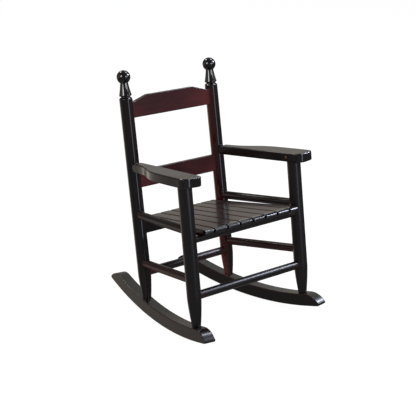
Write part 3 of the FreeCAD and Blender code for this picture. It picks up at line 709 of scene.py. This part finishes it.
arm = {
    "thick": 21.2, "reach": 41.3, "frontHalf": 27.0, "bulge": 32.0, "backOuter": 10.5, "backInner": 11.0,
    "curveStart": 0.84, "curveEnd": 0.31, "corner": 18.0, "round": 2.5, "inset": 2.5, "heelTip": 0.05,
    "faceTouch": 0.01, "around": 300, "curveSteps": 60, "cornerSteps": 26,
    "spineStep": 4.0, "spineBack": 9.0, "spineFront": 26.0,
    "faceThin": 0.14, "edgeThin": 0.1, "thickFront": 12.0, "thickFade": 30.0,
}
armFront, armBack = frontAxis(stance["armFront"]), backAxis(stance["armBack"])
armLength = np.linalg.norm(armFront - armBack)
armForward = unit(armFront - armBack)
armIn = unit(np.cross(armForward, upright))
armUp = np.cross(armIn, armForward)
heel = armLength - post["back"] / 2 + arm["inset"]


# arm outline: straight heel, S-curve out to the bulge, easy run to the rounded front, straight inner side
def armOutline():
    bulge = np.array([-armLength * arm["curveEnd"], arm["bulge"]])
    start = np.array([-armLength * arm["curveStart"], arm["backOuter"]])
    half = (bulge[0] + start[0]) / 2
    frontOuter = np.array([arm["reach"], arm["frontHalf"]])
    frontInner = np.array([arm["reach"], -arm["frontHalf"]])
    backOuter = np.array([-heel, arm["backOuter"]])
    backInner = np.array([-heel, -arm["backInner"]])
    third = (frontOuter - bulge) / 3
    outerArc = cornerArc(frontOuter, third, (0, -1), arm["corner"], arm["cornerSteps"])
    innerArc = cornerArc(frontInner, (0, -1), backInner - frontInner, arm["corner"], arm["cornerSteps"])
    curve = bezier((start, (half, start[1]), (half, bulge[1]), bulge), arm["curveSteps"])
    run = bezier((bulge, bulge + [third[0], 0], frontOuter - third, frontOuter), arm["curveSteps"])
    points = [[backOuter], curve, run[run[:, 0] < outerArc[0, 0]], outerArc, innerArc, [backInner]]
    return spaced(np.concatenate(points), arm["around"])


outline = armOutline()
spineX = np.clip(outline[:, 0], arm["spineBack"] - heel, arm["reach"] - arm["spineFront"])
spineX = np.round(spineX / arm["spineStep"]) * arm["spineStep"]  # both sides meet on the same points
spine = np.stack([spineX, np.zeros(len(outline))], 1)
rings, level, edge = plate(outline, spine, arm["thick"], arm["round"])
bull = arm["thick"] / 2
off = np.clip(rings[:, :, 0] + heel, arm["heelTip"], bull)  # the heel is a half-round seen from the side
level = level * np.sqrt(1 - ((bull - off) / bull) ** 2)
grid = armFront + rings[:, :, :1] * armForward - rings[:, :, 1:] * armIn + (level + bull)[:, :, None] * armUp
place = np.concatenate([rings, level[:, :, None]], 2)
# the coat is thickest round the front edge, but was rubbed down on the top and underside
back = np.clip((arm["reach"] - arm["thickFront"] - rings[:, :, 0]) / arm["thickFade"], 0, 1)
back = np.where(np.abs(level) > bull - arm["faceTouch"], 1.0, back)
thin = (arm["faceThin"] + arm["edgeThin"] * edge) * back
for name, mirror in sides("arm"):
    putPiece(name, grid * mirror, place, thin, [snake(name)], satinWood, spined=True)
print("arms shaped")


rocker = {
    "thick": 28.5, "reach": 221.0, "roll": 45.0, "tip": 4.0, "round": 1.5, "spineStep": 0.005,
    "spineShare": 0.97, "topSteps": 140, "bottomSteps": 150, "rollSteps": 40, "tipSteps": 14,
    "faceThin": 0.14, "edgeThin": 0.6, "upperFade": 8.0, "upperStart": 0.2,
}


# rocker outline in its own plane: two arcs about one centre, each end rolled over by a large and a small arc
def rockerOutline():
    big, small = stance["rockerRadius"], stance["rockerRadius"] - stance["rockerHeight"]

    def polar(radius, angle):
        return np.array([radius * math.sin(angle), big - radius * math.cos(angle)])

    tipFar, rollFar = big - rocker["tip"], small + rocker["roll"]
    tipAngle = math.asin((rocker["reach"] - rocker["tip"]) / tipFar)
    gap = rocker["roll"] - rocker["tip"]
    rollAngle = tipAngle - math.acos((rollFar ** 2 + tipFar ** 2 - gap ** 2) / (2 * rollFar * tipFar))
    ends = []
    for way in (1, -1):
        rollMiddle, tipMiddle = polar(rollFar, rollAngle * way), polar(tipFar, tipAngle * way)
        start, corner = polar(small, rollAngle * way), polar(big, tipAngle * way)
        toStart = unit(start - rollMiddle)
        toTip = unit(tipMiddle - rollMiddle)
        toCorner = unit(corner - tipMiddle)
        touch = rollMiddle + toTip * rocker["roll"]
        rollTop = rollMiddle + unit(toStart + toTip) * rocker["roll"]
        tipTop = tipMiddle + unit(toTip + toCorner) * rocker["tip"]
        roll = arcThrough(start, rollTop, touch, rocker["rollSteps"])
        tip = arcThrough(touch, tipTop, corner, rocker["tipSteps"])
        ends.append(np.concatenate([roll, tip[1:]]))
    angles = np.linspace(-rollAngle, rollAngle, rocker["topSteps"])[1:-1]
    top = np.stack([small * np.sin(angles), big - small * np.cos(angles)], 1)
    angles = np.linspace(tipAngle, -tipAngle, rocker["bottomSteps"])[1:-1]
    bottom = np.stack([big * np.sin(angles), big - big * np.cos(angles)], 1)
    return np.concatenate([top, ends[0], bottom, ends[1][::-1]]), rollAngle


outline, rollAngle = rockerOutline()
middleRadius = stance["rockerRadius"] - stance["rockerHeight"] / 2
most = rollAngle * rocker["spineShare"]
angle = np.clip(np.arctan2(outline[:, 0], stance["rockerRadius"] - outline[:, 1]), -most, most)
angle = np.round(angle / rocker["spineStep"]) * rocker["spineStep"]
spine = np.stack([middleRadius * np.sin(angle), stance["rockerRadius"] - middleRadius * np.cos(angle)], 1)
rings, level, edge = plate(outline, spine, rocker["thick"], rocker["round"])
grid = np.array([rockerX, 0, 0]) + rings[:, :, :1] * rockerBack + rings[:, :, 1:] * upright
grid = grid + level[:, :, None] * rockerOut
place = np.concatenate([rings, level[:, :, None]], 2)
# the coat is thin along the upper edges
inward = middleRadius - np.hypot(rings[:, :, 0], stance["rockerRadius"] - rings[:, :, 1])
upper = np.clip(inward / rocker["upperFade"] + rocker["upperStart"], 0, 1)
thin = rocker["faceThin"] + rocker["edgeThin"] * edge * upper
for name, mirror in sides("rocker"):
    putPiece(name, grid * mirror, place, thin, [snake(name)], satinWood, spined=True)
print("rockers bent")


pin = {
    "head": 7.0, "behind": 4.0, "proud": 0.35, "deep": 2.2, "around": 40, "domeSteps": 14, "domeCurve": 0.6,
    "dishRim": 1.2, "dish": ((0.9, 0.0), (0.75, -0.5), (0.3, -0.55)),  # radii, and heights over the dome
}


# pin head, sunk in the arm's inner side: a shallow dome, as high as a sine and as wide as a power of the
# cosine, with a dished middle
def pinProfile():
    r = pin["head"] / 2
    t = np.linspace(0, math.pi / 2, pin["domeSteps"])
    dome = np.stack([r * np.cos(t) ** pin["domeCurve"], pin["proud"] * np.sin(t)], 1)[:-1]
    dish = np.array(pin["dish"]) + [0.0, pin["proud"]]
    return np.concatenate([[[r, -pin["deep"]]], dome[dome[:, 0] > pin["dishRim"]], dish])


share = (heel - pin["behind"]) / (arm["reach"] + heel)
innerSide = arm["backInner"] + (arm["frontHalf"] - arm["backInner"]) * share
pinPoint = armFront - armForward * pin["behind"] + armIn * innerSide + armUp * bull
grid, place, normal = turned(pinPoint, armIn, pinProfile(), pin["around"])
for name, mirror in sides("armPin"):
    putPiece(name, grid * mirror, place, 0.0, ["arm_pins"], brassPlated)
for node in ("rocker_screws", "slat_screws"):
    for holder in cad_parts[node].material_slots:
        holder.material = zincPlated
print("fasteners set")


# studio: white floor, white surroundings to the camera, softboxes round the chair and dim coloured glows
studio = {
    "floor": "#606060", "floorGlow": 0.97, "floorReach": 8.0, "floorDrop": 0.0004, "floorCloud": 1250.0,
    "floorRough": (0.85, 0.95),
    "camera": (-1.82033, -2.05666, 1.17701), "turn": (71.3138, -1.6647, -40.9323),
    "lens": 106.80, "sensor": 36.0, "near": 0.05, "far": 60.0, "aim": (0.0, 0.1, 0.5),
    "softboxes": (  # name, place, size, roll about its own beam in degrees, power, colour
        ("frontSoftbox", (0.13, -2.25, 1.40), (0.4, 0.52), 0, 15.0, "#e6edff"),
        ("lowFrontSoftbox", (0.13, -2.45, 0.65), (0.6, 1.0), 0, 3.8, "#dfe8ff"),
        ("leftSoftbox", (-2.40, -0.05, 1.28), (0.5, 0.75), 0, 8.0, "#fffaf4"),
        ("rightSoftbox", (1.95, -0.70, 1.72), (0.6, 0.7), 0, 42.0, "#e8eeff"),
        ("frontRightScrim", (1.45, -1.00, 1.80), (0.5, 1.7), 45, 6.5, "#dbe5ff"),
        ("upperRightSoftbox", (1.31, 0.16, 2.57), (0.65, 0.65), 0, 16.0, "#eef2ff"),
        ("upperBackSoftbox", (-0.24, 1.80, 2.30), (0.8, 0.6), 0, 18.0, "#fffaf2"),
    ),
    "strips": (  # lamps that light only the back posts, for the spots on their balls and bells
        ("leftStrip", (-2.00, -0.32, 1.46), (0.6, 0.8), 0, 14.0, "#ffffff"),
        ("frontStrip", (1.12, -1.89, 1.28), (0.4, 0.6), 0, 7.0, "#ffffff"),
    ),
    "glows": (  # axis, narrowness, strength, colour
        ((0, 0, 1), 0.0, 0.07, "#ffffff"), ((0, 0, -1), 2.0, 0.16, "#ffffff"),
        ((0, 0, 1), 2.0, 0.08, "#ffffff"), ((-0.63, -0.71, -0.2), 2.0, 0.1, "#ffffff"),
        ((-0.30, 0.895, -0.30), 60.0, 0.46, "#fff0e0"),
        ((0.12, 0.94, -0.31), 40.0, 1.3, "#fff3e4"), ((0.63, 0.77, 0.16), 40.0, 0.46, "#fff4e8"),
        ((0.6, 0.5, 0.63), 20.0, 0.5, "#f4f8f0"), ((-0.80, 0.55, 0.20), 16.0, 0.65, "#fff8f2"),
        ((0.63, -0.75, 0.12), 12.0, 0.06, "#f0f0ff"), ((0.63, -0.70, 0.36), 24.0, 0.25, "#f0f0ff"),
    ),
}


# pale matt floor that glows enough to meet the white surroundings, with faint wide clouds in its roughness
def makeFloor():
    reach, drop = studio["floorReach"], -studio["floorDrop"]
    mesh = bpy.data.meshes.new("studioFloor")
    corners = [(-reach, -reach, drop), (reach, -reach, drop), (reach, reach, drop), (-reach, reach, drop)]
    mesh.from_pydata(corners, [], [(0, 1, 2, 3)])
    material, tree, output = newMaterial("paleFloor")
    place = addNode(tree, "TexCoord", {}).outputs["Object"]
    cloud = {"Scale": 1 / (studio["floorCloud"] * mm), "Detail": 2.0}
    clouds = addNode(tree, "TexNoise", cloud, {"Vector": place}).outputs["Fac"]
    low, high = studio["floorRough"]
    rough = addNode(tree, "MapRange", {"To Min": low, "To Max": high}, {"Value": clouds}).outputs[0]
    surface = {
        "Base Color": linear(studio["floor"]), "Specular IOR Level": 0.0,
        "Emission Color": (1, 1, 1, 1), "Emission Strength": studio["floorGlow"],
    }
    shader = addNode(tree, "BsdfPrincipled", surface, {"Roughness": rough})
    tree.links.new(shader.outputs[0], output.inputs["Surface"])
    mesh.materials.append(material)
    floor = bpy.data.objects.new("studioFloor", mesh)
    bpy.context.scene.collection.objects.link(floor)
    floor.visible_glossy = False


def softbox(name, place, size, roll, power, colour):
    light = bpy.data.lights.new(name, "AREA")
    light.shape = "RECTANGLE"
    light.size, light.size_y = size
    light.energy = power
    light.color = linear(colour)[:3]
    lamp = bpy.data.objects.new(name, light)
    lamp.location = place
    aimed = (Vector(studio["aim"]) - Vector(place)).to_track_quat("-Z", "Y")
    lamp.rotation_euler = (aimed @ Quaternion((0, 0, 1), math.radians(roll))).to_euler()
    lamp.visible_camera = False
    bpy.context.scene.collection.objects.link(lamp)
    return lamp


# surroundings: white to the camera; reflections see a dim room with broad glows, each a power of the cosine of
# the turn from its axis
def makeWorld():
    world = bpy.data.worlds.new("whiteStudio")
    bpy.context.scene.world = world
    world.use_nodes = True
    tree = world.node_tree
    tree.nodes.clear()
    output = tree.nodes.new("ShaderNodeOutputWorld")
    way = addNode(tree, "TexCoord", {}).outputs["Generated"]
    total = None
    for axis, narrow, strength, colour in studio["glows"]:
        turn = {"operation": "DOT_PRODUCT", 1: tuple(unit(axis))}
        facing = addNode(tree, "VectorMath", turn, {0: way}).outputs["Value"]
        facing = addNode(tree, "Math", {"operation": "MAXIMUM", 1: 0.0}, {0: facing}).outputs[0]
        lobe = addNode(tree, "Math", {"operation": "POWER", 1: narrow}, {0: facing}).outputs[0]
        tint = tuple(strength * channel for channel in linear(colour)[:3])
        added = addNode(tree, "VectorMath", {"operation": "MULTIPLY_ADD", 1: tint, 2: (0, 0, 0)}, {0: lobe})
        if total:
            tree.links.new(total, added.inputs[2])
        total = added.outputs["Vector"]
    room = addNode(tree, "Background", {"Strength": 1.0}, {"Color": total})
    white = addNode(tree, "Background", {"Color": (1, 1, 1, 1), "Strength": 1.0})
    seen = addNode(tree, "LightPath", {}).outputs["Is Camera Ray"]
    mixed = addNode(tree, "MixShader", {}, {0: seen, 1: room.outputs[0], 2: white.outputs[0]})
    tree.links.new(mixed.outputs[0], output.inputs["Surface"])


makeFloor()
makeWorld()
for box in studio["softboxes"]:
    softbox(*box)
polished = bpy.data.collections.new("polishedPosts")
for piece in backPosts:
    polished.objects.link(piece)
for strip in studio["strips"]:
    softbox(*strip).light_linking.receiver_collection = polished
bpy.context.scene.view_settings.view_transform = "Standard"

camera = bpy.data.cameras.new("photoCamera")
camera.lens, camera.sensor_width = studio["lens"], studio["sensor"]
camera.clip_start, camera.clip_end = studio["near"], studio["far"]
holder = bpy.data.objects.new("photoCamera", camera)
holder.location = studio["camera"]
holder.rotation_euler = [math.radians(a) for a in studio["turn"]]
bpy.context.scene.collection.objects.link(holder)
bpy.context.scene.camera = holder
print("studio set")
